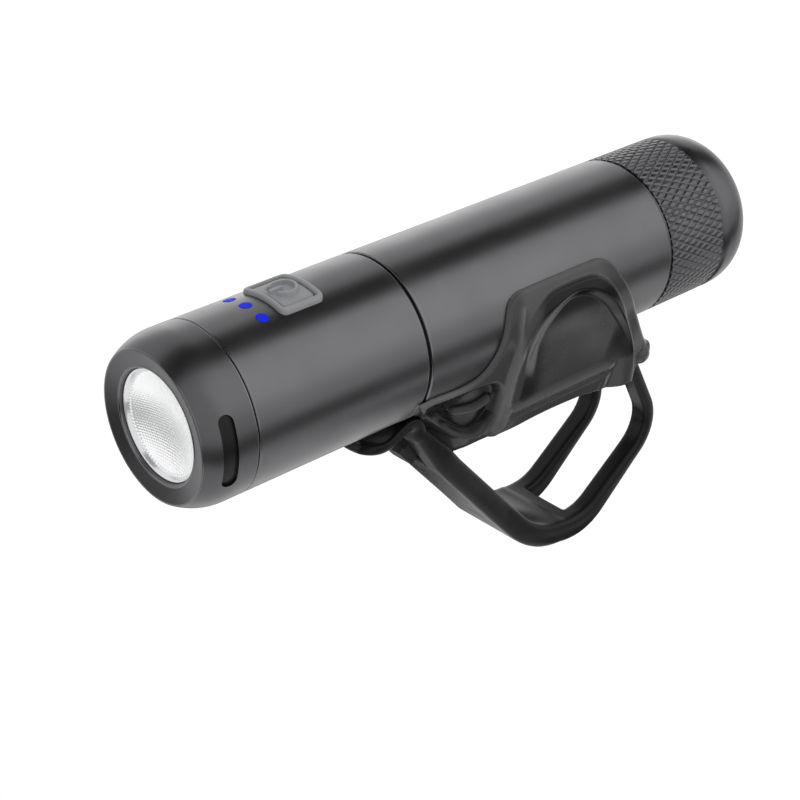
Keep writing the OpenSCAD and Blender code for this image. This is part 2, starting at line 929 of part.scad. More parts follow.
// Root of the strap's rear legs: off the handlebar, round the back and up into the lobes
function rear_path() =
    let (p0 = polar(mid_r, rear_end), d0 = [sin(rear_end), -cos(rear_end)])
    let (p1 = p0 + root_run * d0, middle = p1 + root_bend_r * [d0[1], -d0[0]])
    let (a0 = atan2(p1[1] - middle[1], p1[0] - middle[0]), n = 14, sweep = root_sweep)
    let (turn = [for (i = [0:n]) middle + polar(root_bend_r, a0 - sweep * i / n)])
    let (out = polar(root_in, a0 - sweep - 90))
    concat([polar(mid_r, rear_end + root_lap), p0], turn, [turn[n] + out]);

module rear_legs(grow) {
    path = rear_path();
    m = len(path) - 1;
    thick = [for (i = [0:m]) (strap_t + (root_t - strap_t) * min(1, i / root_taper)) / 2 + grow];
    difference() {
        for (y = [-1, 1])
            translate([0, y * (strap_w - leg_w) / 2, 0])
                side_plate(leg_w + 2 * grow)
                    polygon(band(path, thick));
        bar(bar_r);
    }
}

module core_block(grow) {
    front = mid_r - strap_t / 2 - core_cover + grow;
    rear = -core_rear - grow;
    z0 = core_z - grow;
    z1 = axis_h - torch_r / 2;
    difference() {
        side_plate(2 * core_half_w + 2 * grow)
            polygon([[rear, z0], leg_point(front, z0), leg_point(front, z1), [rear, z1]]);
        rod(saddle_in - grow, 0, end_s);
    }
    on_leg(peg_u)
        translate([-peg_t / 2 - grow, -peg_w / 2 - grow, -strap_t / 2 - peg_tip])
            cube([peg_t + 2 * grow, peg_w + 2 * grow, strap_t + peg_tip + core_cover + peg_root]);
}

module saddle() {
    color("#2a2a2c")
        difference() {
            union() {
                difference() {
                    union() {
                        raised(saddle_outline(), skirt_t);
                        panel();
                        raised(box_outline(ledge_x, [flank_z, flank_z + ledge_h], ledge_r), ledge_t);
                        lobes();
                        seat_pad();
                    }
                    hollows();
                }
                raised(box_outline(rib_x, rib_z, rib_r), skirt_t);
                intersection() {
                    rod(lip_r, fwd(lip_reach), fwd(wing_x));
                    translate([0, -2 * lip_r, 0])
                        cube([lip_reach + cut, 4 * lip_r, axis_h - crest_drop]);
                }
                intersection() {
                    translate([-bead_out, 0, base_z + bead_rise])
                        bar(bead_r);
                    translate([-2 * bead_out, -bead_half_w, 0])
                        cube([2 * bead_out, 2 * bead_half_w, axis_h]);
                }
            }
            rod(saddle_in, 0, end_s);
            bar(bar_r);
            core_block(seat_gap);
            rear_legs(seat_gap);
        }
}

// Screws that hold the core to the battery tube, each radius grown by grow
module core_screw_shanks(grow) {
    for (x = core_screw_x)
        translate([x, 0, core_z + core_screw_head_t])
            cylinder(r = core_screw_r + grow, h = core_screw_l + grow);
}

module core_screw_heads(grow) {
    for (x = core_screw_x)
        translate([x, 0, core_z - grow])
            cylinder(r = core_screw_head_r + grow, h = core_screw_head_t + grow);
}

module saddle_core() {
    color("#111113")
        difference() {
            union() {
                core_block(0);
                on_leg(peg_u)
                    translate([0, -peg_w / 2, -strap_t / 2 - peg_tip])
                        cube([peg_t / 2 + peg_lip, peg_w, peg_tip - strap_gap]);
            }
            core_screw_shanks(snug);
            core_screw_heads(snug);
        }
}

module core_screws() {
    color("#8d8f92")
        union() {
            core_screw_shanks(0);
            core_screw_heads(0);
        }
}

// Strap

module strap_arc(a0, a1) {
    side_plate(strap_w)
        intersection() {
            difference() {
                circle(bar_r + strap_t);
                circle(bar_r);
            }
            polygon([[0, 0], polar(3 * bar_r, a0), polar(4 * bar_r, (a0 + a1) / 2), polar(3 * bar_r, a1)]);
        }
}

module strap_rear() {
    color("#242426")
        union() {
            difference() {
                strap_arc(rear_end, rear_start);
                side_plate(strap_w - 2 * leg_w)
                    polygon([[0, 0], polar(3 * bar_r, window_angle), polar(3 * bar_r, rear_end),
                             polar(3 * bar_r, 2 * rear_end - window_angle)]);
            }
            rear_legs(0);
        }
}

function leg_top() = axis_h - sqrt(pow(under_r, 2) - pow(strap_w / 2, 2));

// Pull tab in the side view, with a dip for the fingertip
module tab_side() {
    z0 = axis_h - under_r - tab_t / 2 - strap_gap;
    x0 = leg_point(mid_r, z0)[0];
    n = 12;
    path = [for (i = [0:n]) [x0 + tab_l * i / n, z0 - tab_dip * sin(tab_turn * i / n)]];
    intersection() {
        side_plate(tab_w)
            polygon(band(path, [for (p = path) tab_t / 2]));
        translate([x0 + tab_l / 2 - tab_round / 2, 0, 0])
            linear_extrude(axis_h)
                rounded_plate(tab_l + tab_round, tab_w, tab_round);
    }
}

// Front stretch of the strap in the side view: round the handlebar, then straight up the leg
function front_outline() =
    let (leg_l = (leg_top() + mid_r * cos(leg_slope)) / sin(leg_slope), n = 6)
    let (turn = [for (i = [0:n]) hinge_angle + (leave_angle - hinge_angle) * i / n])
    concat([for (a = turn) polar(bar_r + strap_t, a)],
           [(bar_r + strap_t) * outward + leg_l * along, (bar_r + leg_relief) * outward + leg_l * along,
            (bar_r + leg_relief) * outward],
           [for (i = [n:-1:0]) polar(bar_r - cut, turn[i])]);

// Front leg seen square on: the strap's width round the handlebar, narrowing to the tab's width
module leg_plan() {
    half = [strap_w / 2, tab_w / 2];
    polygon([[-bar_d, -half[0]], [taper_u[0], -half[0]], [taper_u[1], -half[1]], [2 * bar_d, -half[1]],
             [2 * bar_d, half[1]], [taper_u[1], half[1]], [taper_u[0], half[0]], [-bar_d, half[0]]]);
}

module strap_front() {
    knuckle = polar(mid_r, hinge_angle);
    window_l = peg_t / 2 + peg_lip + peg_slack;
    color("#242426")
        difference() {
            union() {
                translate([knuckle[0], 0, knuckle[1]])
                    rotate([90, 0, 0])
                        cylinder(r = strap_t / 2 - leg_relief, h = strap_w, center = true);
                intersection() {
                    side_plate(strap_w)
                        polygon(front_outline());
                    on_leg(0)
                        linear_extrude(6 * strap_t, center = true)
                            leg_plan();
                }
                tab_side();
            }
            bar(bar_r);
            rod(under_r, 0, end_s);
            on_leg(peg_u)
                translate([-window_l, -peg_w / 2 - peg_slack, -strap_t / 2 - cut])
                    cube([2 * window_l, peg_w + 2 * peg_slack, strap_t + 2 * cut]);
        }
}

bezel_ring();
side_window_ring();
lens_gasket();
front_lens();
lens_holder();
led_emitter();
led_board();
led_board_screws();
heat_sink();
head_housing();
button_frame();
button_pad();
switch_plunger();
tact_switch();
indicator_pipes();
indicator_leds();
main_board();
cell_tabs();
battery_cell();
cell_sleeve();
joint_seal();
battery_tube();
charge_board();
port_plate();
charge_port();
port_tongue();
tail_cap();
cap_seal();
saddle();
saddle_core();
core_screws();
strap_rear();
strap_front();
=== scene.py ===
# %% [markdown]
# A handlebar headlight, dressed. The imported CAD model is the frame: a turned aluminium torch, its
# electronics and the solids of a silicone mount. This lesson gives each node a finish, and makes new
# surfaces where the real piece is softer or finer than its solid: the knurled cap, the beaded lens, the
# silicone button, the saddle and the strap. Lengths are in millimetres until a mesh is made.

# %% load the frame
import bmesh
import bpy
import numpy as np
from mathutils import Matrix


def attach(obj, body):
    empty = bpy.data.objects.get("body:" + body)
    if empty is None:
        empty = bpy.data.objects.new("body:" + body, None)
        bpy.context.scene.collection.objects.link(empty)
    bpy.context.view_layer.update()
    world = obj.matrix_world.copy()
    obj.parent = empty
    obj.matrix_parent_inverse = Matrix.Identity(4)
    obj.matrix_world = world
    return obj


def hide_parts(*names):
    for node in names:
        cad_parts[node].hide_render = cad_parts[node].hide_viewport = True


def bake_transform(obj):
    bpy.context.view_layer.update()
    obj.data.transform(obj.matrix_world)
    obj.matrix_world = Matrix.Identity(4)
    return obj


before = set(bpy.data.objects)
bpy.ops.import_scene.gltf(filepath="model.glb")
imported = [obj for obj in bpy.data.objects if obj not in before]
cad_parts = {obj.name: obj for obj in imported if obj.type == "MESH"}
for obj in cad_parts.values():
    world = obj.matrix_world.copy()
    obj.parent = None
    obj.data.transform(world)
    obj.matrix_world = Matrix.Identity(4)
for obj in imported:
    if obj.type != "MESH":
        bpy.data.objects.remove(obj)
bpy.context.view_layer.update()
scene = bpy.context.scene
scene.view_settings.view_transform = "Standard"
MM = 0.001
AXIS_Z = 37.5
TORCH_R = 15.0
WHITE = (1.0, 1.0, 1.0, 1.0)

# %% [markdown]
# Every new piece below is a grid of points. Blender wants one list of points and one list of faces, so
# these helpers turn a grid into quads, and hang the finished object on its body of the CAD model. Doing
# it with whole arrays keeps a mesh of a hundred thousand faces quick to make.

# %% grids to meshes
def grid_faces(rows, cols, wrap=False):
    """Quads of a rows by cols grid: i,j - i+1,j - i+1,j+1 - i,j+1. With wrap the last column meets the first."""
    i, j = np.meshgrid(np.arange(rows - 1), np.arange(cols if wrap else cols - 1), indexing="ij")
    k = (j + 1) % cols
    return np.stack([i * cols + j, (i + 1) * cols + j, (i + 1) * cols + k, i * cols + k], -1).reshape(-1, 4)


def build(name, points, faces, material, body=None, node=(), sharp=35.0, ends=(), tone=None):
    """Closed mesh from points in millimetres and index faces: doubles merged, normals turned outwards,
    shaded smooth up to the sharp angle. ends are extra many-sided faces, tone a number for each point."""
    mesh = bpy.data.meshes.new(name)
    mesh.from_pydata((np.asarray(points, float) * MM).tolist(), [], faces.tolist() + [e.tolist() for e in ends])
    mesh.materials.append(material)
    if tone is not None:
        mesh.attributes.new("tone", "FLOAT", "POINT").data.foreach_set("value", tone)
    shell = bmesh.new()
    shell.from_mesh(mesh)
    bmesh.ops.remove_doubles(shell, verts=shell.verts, dist=0.002 * MM)
    bmesh.ops.recalc_face_normals(shell, faces=shell.faces)
    shell.to_mesh(mesh)
    shell.free()
    mesh.polygons.foreach_set("use_smooth", np.ones(len(mesh.polygons), bool))
    mesh.set_sharp_from_angle(angle=np.radians(sharp))
    obj = bpy.data.objects.new(name, mesh)
    scene.collection.objects.link(obj)
    if body:
        hang(obj, body, node)
    return obj


def hang(obj, body, node=()):
    """Rides obj on a body, in place of the CAD nodes that it stands for."""
    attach(obj, body)
    if node:
        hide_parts(*node)
    print(obj.name, len(obj.data.vertices), "points,", len(obj.data.polygons), "faces")


def smooth(a, b, t):
    """Smooth step from 0 at a to 1 at b: 3 u^2 - 2 u^3 of the share u of the way."""
    u = np.clip((t - a) / (b - a), 0.0, 1.0)
    return u * u * (3.0 - 2.0 * u)


def bell(distance, width):
    """A soft ridge: exp(-(distance / width)^2), 1 on its line and next to nothing past two widths."""
    return np.exp(-(distance / width) ** 2)


def round_off(distance, radius):
    """Quarter circle of a rounded rim: sqrt(1 - (1 - d / r)^2), 0 on the rim and 1 from the radius on."""
    return np.sqrt(1.0 - (1.0 - np.clip(distance / radius, 0.0, 1.0)) ** 2)


# %% [markdown]
# Finishes come next, because a piece takes its material when it is made. One function adds a node to a
# material, and one recipe covers the moulded and machined surfaces here: a colour that wanders between
# two close tones, a roughness that wanders with it, and a fine grain as bump. Each grain has a real size
# in millimetres, so it stays in scale from any distance.

# %% nodes and colours
def rgb(code):
    """sRGB hex to linear: c / 12.92 below 0.04045, else ((c + 0.055) / 1.055) ^ 2.4."""
    c = np.array([int(code[i:i + 2], 16) for i in (1, 3, 5)]) / 255.0
    return tuple(np.where(c <= 0.04045, c / 12.92, ((c + 0.055) / 1.055) ** 2.4)) + (1.0,)


def add(tree, kind, sockets=(), **settings):
    """Adds a node of that kind: settings are its own values, sockets pairs of input and number or output."""
    node = tree.nodes.new(kind)
    for key, value in settings.items():
        setattr(node, key, value)
    for key, value in dict(sockets).items():
        if isinstance(value, bpy.types.NodeSocket):
            tree.links.new(value, node.inputs[key])
        else:
            node.inputs[key].default_value = value
    return node


def finish(name, light, dark, rough, grain, depth, metallic=0.0, patch=6.0, stretch=(1.0, 1.0, 1.0), **sockets):
    """Material: tones light and dark wander over patches of that many mm, roughness between the two
    values in rough, and a noise of grain mm stands depth mm high as bump. stretch squeezes the grain."""
    material = bpy.data.materials.new(name)
    material.use_nodes = True
    tree = material.node_tree
    shader = tree.nodes["Principled BSDF"]
    place = add(tree, "ShaderNodeTexCoord").outputs["Object"]
    broad = add(tree, "ShaderNodeTexNoise", {"Vector": place, "Scale": 1.0 / (patch * MM), "Detail": 4.0})
    tone = add(tree, "ShaderNodeMix", {"Factor": broad.outputs["Fac"], 6: rgb(light), 7: rgb(dark)}, data_type="RGBA")
    tree.links.new(tone.outputs[2], shader.inputs["Base Color"])
    spread = add(tree, "ShaderNodeMapRange", {"Value": broad.outputs["Fac"], "From Min": 0.3, "From Max": 0.7,
                                              "To Min": rough[0], "To Max": rough[1]})
    tree.links.new(spread.outputs["Result"], shader.inputs["Roughness"])
    turned = add(tree, "ShaderNodeMapping", {"Vector": place, "Scale": stretch})
    fine = add(tree, "ShaderNodeTexNoise", {"Vector": turned.outputs["Vector"], "Scale": 1.0 / (grain * MM),
                                            "Detail": 2.0})
    bump = add(tree, "ShaderNodeBump", {"Height": fine.outputs["Fac"], "Distance": depth * MM, "Strength": 1.0})
    tree.links.new(bump.outputs["Normal"], shader.inputs["Normal"])
    shader.inputs["Metallic"].default_value = metallic
    for key, value in sockets.items():
        shader.inputs[key.replace("_", " ").title().replace("Ior", "IOR")].default_value = value
    return material


# %% [markdown]
# The torch is aluminium, blasted with fine beads and anodised black. The dye leaves a dark metal: it mirrors the
# studio softly, goes pale at a glancing angle, and shows a faint sparkle of the blasted grain. Bead-blast dimples are
# about 0.05 mm across, too fine to show, so they are drawn at 0.15 mm. Edges that were broken after the blasting are
# smoother, and catch the light as thin bright lines; their finish is also a little lighter, a painted highlight. The
# front ring and the tail cap get a copy of the finish a shade darker: painted shade, where they look darker than the
# head and the tube.

# %% metal finishes
anodised = finish("anodised_aluminium", "#69696b", "#616163", (0.29, 0.35), 0.15, 0.0012, metallic=1.0, patch=9.0)
bare = finish("turned_aluminium", "#c9cacc", "#b9babd", (0.28, 0.36), 0.2, 0.004, metallic=1.0, stretch=(6, 1, 1))
# a darker copy of the anodised finish: painted shade on the front ring and the tail cap
shaded_anodised = finish("shaded_anodised_aluminium", "#5f5f61", "#575759", (0.29, 0.35), 0.15, 0.0012, metallic=1.0,
                       patch=9.0)
plated = finish("nickel_plate", "#cfccc6", "#c2bfb8", (0.16, 0.24), 0.3, 0.002, metallic=1.0)
# lighter than the anodised finish: a painted highlight on the rounded edges, besides their real smoother gloss
edge_highlight = finish("burnished_edge_highlight", "#747476", "#6c6c6e", (0.22, 0.28), 0.15, 0.001, metallic=1.0, patch=9.0)
steel = finish("zinc_plated_steel", "#b9bbbe", "#a6a8ab", (0.25, 0.35), 0.3, 0.004, metallic=1.0)

# %% [markdown]
# Plastics and rubbers differ mostly in gloss. Nylon and nitrile are matt, tinted polycarbonate is clear
# and glossy, and a moulded acrylic lens is almost colourless. The silicone button is mid grey and matt
# from its spark-eroded mould.

# %% plastic finishes
nylon = finish("moulded_nylon", "#1c1c1d", "#151516", (0.45, 0.55), 0.25, 0.006)
nitrile = finish("nitrile_rubber", "#161616", "#101010", (0.5, 0.65), 0.3, 0.006)
smoked = finish("smoked_polycarbonate", "#19191a", "#111112", (0.3, 0.4), 0.6, 0.002, specular_ior_level=0.2)
white_abs = finish("white_abs", "#efefec", "#e6e6e2", (0.35, 0.45), 0.3, 0.004)
mask_white = finish("white_solder_mask", "#e9e9e4", "#dededa", (0.3, 0.4), 0.4, 0.004)
mask_green = finish("green_solder_mask", "#1d6b3a", "#175a30", (0.25, 0.4), 0.4, 0.006)
wrap = finish("pvc_shrink_wrap", "#2f6db3", "#285f9e", (0.2, 0.3), 0.8, 0.004)
phosphor = finish("phosphor_under_silicone", "#e6c64a", "#d8b538", (0.1, 0.2), 0.2, 0.002)
blue = finish("blue_polycarbonate", "#1c2cdc", "#1726c4", (0.5, 0.6), 0.3, 0.001, specular_ior_level=0.06)
grey_silicone = finish("grey_silicone", "#939497", "#838487", (0.5, 0.62), 0.22, 0.02, patch=2.0)

# %% [markdown]
# Each CAD node that stays now takes its finish. A node that a later piece replaces gets one as well, and
# is simply not shown.

# %% dress the CAD nodes
node_finish = {
    # the front ring takes the darker copy of the anodised finish: painted shade
    "bezel_ring": shaded_anodised, "head_housing": anodised, "battery_tube": anodised, "tail_cap": anodised,
    "side_window_ring": smoked, "lens_gasket": nitrile, "joint_seal": nitrile, "cap_seal": nitrile,
    "front_lens": white_abs, "lens_holder": white_abs, "indicator_leds": white_abs,
    "led_emitter": phosphor, "led_board": mask_white, "main_board": mask_green, "charge_board": mask_green,
    "led_board_screws": steel, "tact_switch": steel, "core_screws": steel, "heat_sink": bare,
    "button_frame": grey_silicone, "button_pad": grey_silicone, "switch_plunger": nylon,
    "indicator_pipes": blue, "cell_tabs": plated, "charge_port": plated, "battery_cell": wrap,
    "cell_sleeve": nylon, "port_plate": nylon, "port_tongue": nylon, "saddle_core": nylon,
    "saddle": nylon, "strap_rear": nylon, "strap_front": nylon,
}
for name, material in node_finish.items():
    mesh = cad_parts[name].data
    mesh.materials.clear()
    mesh.materials.append(material)
print(len(node_finish), "nodes dressed")

# %% [markdown]
# The mount is silicone filled with carbon black, glossy where the mould was polished. Thin skirts look greyer than
# thick blocks because light passes into them, so each point of the saddle carries a number, tone, from 0 at the palest
# rims to 1 in the deepest hollow, and the material blends two greys by it. Besides thickness the tone holds painted
# light: painted shade in the hollow and the pocket, and painted highlights along the rims and ridges.

# %% silicone finishes
def blended(material, other):
    """Blends a material's own colour, where a mesh's tone is 1, into another colour where it is 0."""
    tree = material.node_tree
    base = tree.nodes["Principled BSDF"].inputs["Base Color"]
    where = add(tree, "ShaderNodeAttribute", attribute_name="tone")
    mixed = add(tree, "ShaderNodeMix", {"Factor": where.outputs["Fac"], 6: rgb(other), 7: base.links[0].from_socket},
                data_type="RGBA")
    tree.links.new(mixed.outputs[2], base)
    return material


rubber = finish("black_silicone", "#1b1b1c", "#151516", (0.26, 0.38), 2.5, 0.02, patch=5.0, specular_ior_level=0.16)
# blended by tone: thin skirts greyer, with painted shade and painted highlights on the saddle
smoky = blended(finish("smoky_silicone", "#0d0d0e", "#080809", (0.2, 0.3), 2.5, 0.015, patch=5.0,
                       specular_ior_level=0.2), "#5c5c5d")

# %% [markdown]
# The tail cap is turned from bar and its grip is rolled with a diamond knurl: two sets of grooves cross,
# 57 around the cap, each climbing one step every 3 mm. A bump map would leave a smooth outline, so the
# grooves are in the mesh. The profile starts inside the bore, comes round the open end, runs down the
# grip and over the dome, and is turned about the light's axis.

# %% knurled cap
def revolve(x, r, columns):
    """Turns a profile about the light's axis: (x, r sin a, AXIS_Z + r cos a), a going once round."""
    a = np.linspace(0.0, 2.0 * np.pi, columns, endpoint=False)
    return np.stack([x + 0.0 * a, r * np.sin(a), AXIS_Z + r * np.cos(a)], -1)


def groove(turns, x, pitch):
    """Depth share of one knurl direction: 1 on a groove's line, falling straight to 0 at its half width."""
    spacing = 1.0 / np.hypot(KNURLS / (2.0 * np.pi * TORCH_R), 1.0 / pitch)
    phase = KNURLS * turns + x / pitch
    return np.clip(1.0 - np.abs(phase - np.round(phase)) * spacing / GROOVE_HALF, 0.0, 1.0)


KNURLS, PITCH, GROOVE_HALF, GROOVE_D = 57, 3.0, 0.27, 0.26
grip_x = np.linspace(-19.45, -33.45, 97)
bore = [(-37.9, 0.0), (-37.9, 11.4), (-30.2, 11.4), (-30.2, 13.18), (-21.4, 13.18), (-21.4, 14.15),
        (-20.0, 14.15), (-20.0, 13.18), (-19.05, 13.18), (-18.9, 13.3), (-18.9, 14.5), (-19.05, 14.68),
        (-19.4, 14.68)]
t = np.linspace(0.0, 1.0, 26)
dome = np.stack([-35.6 - 9.4 * np.sin(np.pi / 2 * t), TORCH_R * (1.0 - np.sin(np.pi / 2 * t) ** 2.5) ** 0.4], -1)
rear = np.vstack([[(-33.5, 14.72), (-33.8, 14.72), (-34.0, 14.95)], dome])
profile = np.vstack([bore, np.stack([grip_x, np.full(len(grip_x), TORCH_R)], -1), rear])
columns = KNURLS * 12
around = np.arange(columns) / columns
r = np.repeat(profile[:, 1:], columns, 1)
grip = slice(len(bore), len(bore) + len(grip_x))
cut = np.maximum(groove(around, grip_x[:, None], PITCH), groove(around, grip_x[:, None], -PITCH))
r[grip] -= GROOVE_D * cut
# the cap takes the darker copy of the anodised finish: painted shade
build("knurled_cap", revolve(profile[:, :1], r, columns).reshape(-1, 3),
      grid_faces(len(profile), columns, wrap=True), shaded_anodised, "cap", ["tail_cap"], sharp=58)

# %% [markdown]
# Behind the front ring sits the lens, moulded in clear acrylic: a shallow bowl with a field of tiny domes that spread
# the beam, a ring of studs round it, and a clear rim that slopes like a cone. Lit by the room the field looks silvery
# white, so its material is part metal, and a faint glow is painted light that lifts it to white, though the lens is no
# lamp. The domes lie on a honeycomb lattice: the distance to the nearest lattice point gives the height. The real
# pitch of about 0.4 mm is drawn at 0.5 mm so that it shows.

# %% beaded lens
def honeycomb(u, v, pitch):
    """Distance to the nearest point of a honeycomb lattice, the closer of two interleaved rectangles."""
    tall = pitch * np.sqrt(3.0)
    d = [np.hypot(u - a - pitch * np.round((u - a) / pitch), v - b - tall * np.round((v - b) / tall))
         for a, b in ((0.0, 0.0), (pitch / 2, tall / 2))]
    return np.minimum(*d)


BEAD, BEAD_H = 0.5, 0.035
STUDS, STUD_R, STUD_H = 84, 8.78, 0.2
FIELD_R, FIELD_D, BOWL_D = 8.6, 0.9, 2.1
RIM_R, BACK_D, SETBACK = 9.6, 4.2, 0.05
LENS_X = 84.8
columns = 560
field = np.linspace(0.08, FIELD_R, 106)
radius = np.concatenate([[0.0], field, [8.66, 8.72, STUD_R, 8.84, 8.9, 9.0, 9.2, 9.38, 9.5, 9.57, RIM_R, RIM_R, 0.0]])
bowl = FIELD_D + BOWL_D * (1.0 - (field / FIELD_R) ** 2)
depth = np.concatenate([[FIELD_D + BOWL_D], bowl, [FIELD_D, FIELD_D, 0.88, 0.84, 0.78, 0.62, 0.25, 0.04, 0.0,
                                                   0.03, 0.12, BACK_D, BACK_D]])
a = np.linspace(0.0, 2.0 * np.pi, columns, endpoint=False)
y, z = radius[:, None] * np.sin(a), radius[:, None] * np.cos(a)
swell = BEAD_H * (1.0 - np.clip(honeycomb(y, z, BEAD) / (BEAD / 2), 0.0, 1.2) ** 2)
swell *= smooth(8.65, 8.4, radius)[:, None]
studs = STUD_H * np.clip(np.cos(STUDS * a), 0.0, 1.0) * bell(radius[:, None] - STUD_R, 0.1)
studs[-4:] = 0.0
x = LENS_X - depth[:, None] + swell - SETBACK + studs
tone = smooth(8.95, 8.8, radius)[:, None] + 0.0 * a
tone[-2:] = 0.0
# the faint white emission is painted light: the lens glows though it is no lamp
acrylic = blended(finish("beaded_acrylic", "#fdfdfe", "#f0f1f2", (0.16, 0.24), 0.5, 0.002, metallic=0.58, patch=3.0,
                         coat_weight=0.5, emission_color=WHITE, emission_strength=0.1), "#d4d6d8")
build("beaded_lens", np.stack([x, y, AXIS_Z + z], -1).reshape(-1, 3), grid_faces(len(radius), columns, wrap=True),
      acrylic, "light", ["front_lens"], sharp=75, tone=tone.ravel())

# %% [markdown]
# The turned pieces meet at thin seams, and their edges are rounded by hand with a strip of emery. Each
# edge is a ring with a small round section, tucked into the corner of the solid that it softens: one at
# the crest of the front face, five along the seams and one round the lens opening.

# %% rounded edges
EDGE_R = 0.3
SEAM_R = TORCH_R - EDGE_R
turn = np.linspace(0.0, 2.0 * np.pi, 13)[:, None]
corners = [(85.73, 12.93), (76.6, SEAM_R), (75.9, SEAM_R), (40.9, SEAM_R), (39.7, SEAM_R), (-18.5, SEAM_R),
           (85.14, 10.12)]
for k, (middle, out_r) in enumerate(corners):
    points = revolve(middle + EDGE_R * np.cos(turn), out_r + EDGE_R * np.sin(turn), 180)
    build("rounded_edge_%d" % k, points.reshape(-1, 3), grid_faces(len(turn), 180, wrap=True), edge_highlight, "light", ())

# %% [markdown]
# On each side of the front ring a slot lets light out, closed by a smoked window that stands almost flush.
# The window follows the ring's round shoulder, a little below its skin, so each pane is a bent slab: a
# thin loop in the plane of the axis, turned through the angle that the slot spans.

# %% side panes
SHOULDER_L, SHOULDER_D = 6.2, 1.9
SHOULDER_R = (SHOULDER_L ** 2 + SHOULDER_D ** 2) / (2.0 * SHOULDER_D)
back = np.linspace(2.6, 6.0, 12)
skin = TORCH_R - SHOULDER_R + np.sqrt(SHOULDER_R ** 2 - np.maximum(SHOULDER_L - back, 0.0) ** 2)
slab_x = 86.0 - np.concatenate([back, back[::-1]])
slab_r = np.concatenate([skin - 0.5, skin[::-1] - 1.2])
for name, middle in (("side_pane_left", 90.0), ("side_pane_right", -90.0)):
    turn = np.radians(middle + np.linspace(-28.0, 28.0, 25))[:, None]
    points = np.stack([slab_x + 0.0 * turn, slab_r * np.sin(turn), AXIS_Z + slab_r * np.cos(turn)], -1)
    build(name, points.reshape(-1, 3), grid_faces(25, 24, wrap=True), smoked, "light", (),
          ends=[np.arange(24), np.arange(24) + 24 * 24])

# %% [markdown]
# The button is two silicone mouldings. A frame lines the opening in the head and stands a little proud,
# and a pad inside it carries the raised mark for on and off. Both follow the round head: a flat outline
# is drawn first, and each point's height then comes from the circle of the head at that place.

# %% button frame
BUTTON_X = 59.0


def rounded_outline(half_x, half_y, corner, n):
    """n points at equal steps, and their outward normals, round a rectangle with quarter circles for corners."""
    turn = np.concatenate([np.linspace(0.0, np.pi / 2, 16) + k * np.pi / 2 for k in range(4)])
    normal = np.stack([np.cos(turn), np.sin(turn)], -1)
    sign = np.repeat([(1, 1), (-1, 1), (-1, -1), (1, -1)], 16, 0)
    points = sign * np.array([half_x - corner, half_y - corner]) + corner * normal
    both = np.hstack([points, normal])
    both = np.vstack([both, both[:1]])
    along = np.concatenate([[0.0], np.cumsum(np.linalg.norm(np.diff(both[:, :2], axis=0), axis=1))])
    step = np.linspace(0.0, along[-1], n, endpoint=False)
    even = np.stack([np.interp(step, along, both[:, k]) for k in range(4)], -1)
    return even[:, :2], even[:, 2:] / np.linalg.norm(even[:, 2:], axis=1, keepdims=True)


def on_head(u, v, h):
    """A point u along, v across and h over the head's skin: (BUTTON_X + u, v, AXIS_Z + sqrt((R + h)^2 - v^2))."""
    return np.stack([BUTTON_X + u, v, AXIS_Z + np.sqrt((TORCH_R + h) ** 2 - v ** 2)], -1)


inset = np.array([0.0, 0.0, 0.05, 0.14, 0.28, 0.56, 0.72, 0.84, 0.92, 0.97, 1.0, 1.0, 0.0])
height = np.array([-2.2, 0.4, 0.6, 0.74, 0.8, 0.8, 0.75, 0.64, 0.48, 0.26, 0.0, -2.2, -2.2])
edge, out = rounded_outline(4.4, 5.5, 1.2, 160)
ring = edge - inset[:, None, None] * out
build("button_rim", on_head(ring[..., 0], ring[..., 1], height[:, None]).reshape(-1, 3),
      grid_faces(len(inset), len(edge), wrap=True), grey_silicone, "light", ["button_frame"])

# %% [markdown]
# The pad is pressed with a thumb, so it is a piece of its own with a small gap round it. Its mark is an
# open ring and a short stroke. Both stand up where a point is close enough to the line of the mark.

# %% button pad
MARK_R, MARK_H = 2.25, 0.65
share = np.concatenate([np.linspace(0.0, 0.94, 72), [0.96, 0.975, 0.99, 1.0, 1.0, 1.0, 0.0]])
drop = np.concatenate([np.zeros(72), [0.02, 0.06, 0.13, 0.26, 0.6, 2.4, 2.4]])
edge, out = rounded_outline(3.2, 4.3, 0.6, 320)
u, v = share[:, None] * edge[:, 0], share[:, None] * edge[:, 1]
spoke = np.hypot(u, v)
mark = smooth(0.44, 0.22, np.abs(spoke - MARK_R)) * smooth(28.0, 34.0, np.degrees(np.abs(np.arctan2(v, u))))
stroke = smooth(0.44, 0.22, np.abs(v)) * smooth(0.0, 0.3, u) * smooth(2.85, 2.6, u)
raised = np.where(drop[:, None] < 0.02, MARK_H * np.maximum(mark, stroke), 0.0)
build("button_cap", on_head(u, v, 0.4 - drop[:, None] + raised).reshape(-1, 3),
      grid_faces(len(share), len(edge), wrap=True), grey_silicone, "button", ["button_pad"])

# %% [markdown]
# The saddle is the main moulding of the mount, in smoky black silicone. Wings hug the tube, a block below
# them sits on the handlebar, and a lip reaches forward under the head. Sculpting it by hand is possible,
# but its relief is easier to state: cut the saddle by planes across the light, give each cut the same
# loop of points, and let numbers that change along X say where the loop's top and bottom lie.

# %% lines and distances
def spline(points, per=10):
    """Smooth line through points: Catmull-Rom, the cubic that leaves b towards c with slope (c - a) / 2."""
    p = np.asarray(points, float)
    p = np.vstack([2 * p[0] - p[1], p, 2 * p[-1] - p[-2]])
    a, b, c, d = (p[i:len(p) - 3 + i, None, :] for i in range(4))
    t = np.linspace(0.0, 1.0, per, endpoint=False)[None, :, None]
    line = b + 0.5 * t * (c - a + t * (2 * a - 5 * b + 4 * c - d + t * (3 * b - a - 3 * c + d)))
    return np.vstack([line.reshape(-1, p.shape[1]), p[-2]])


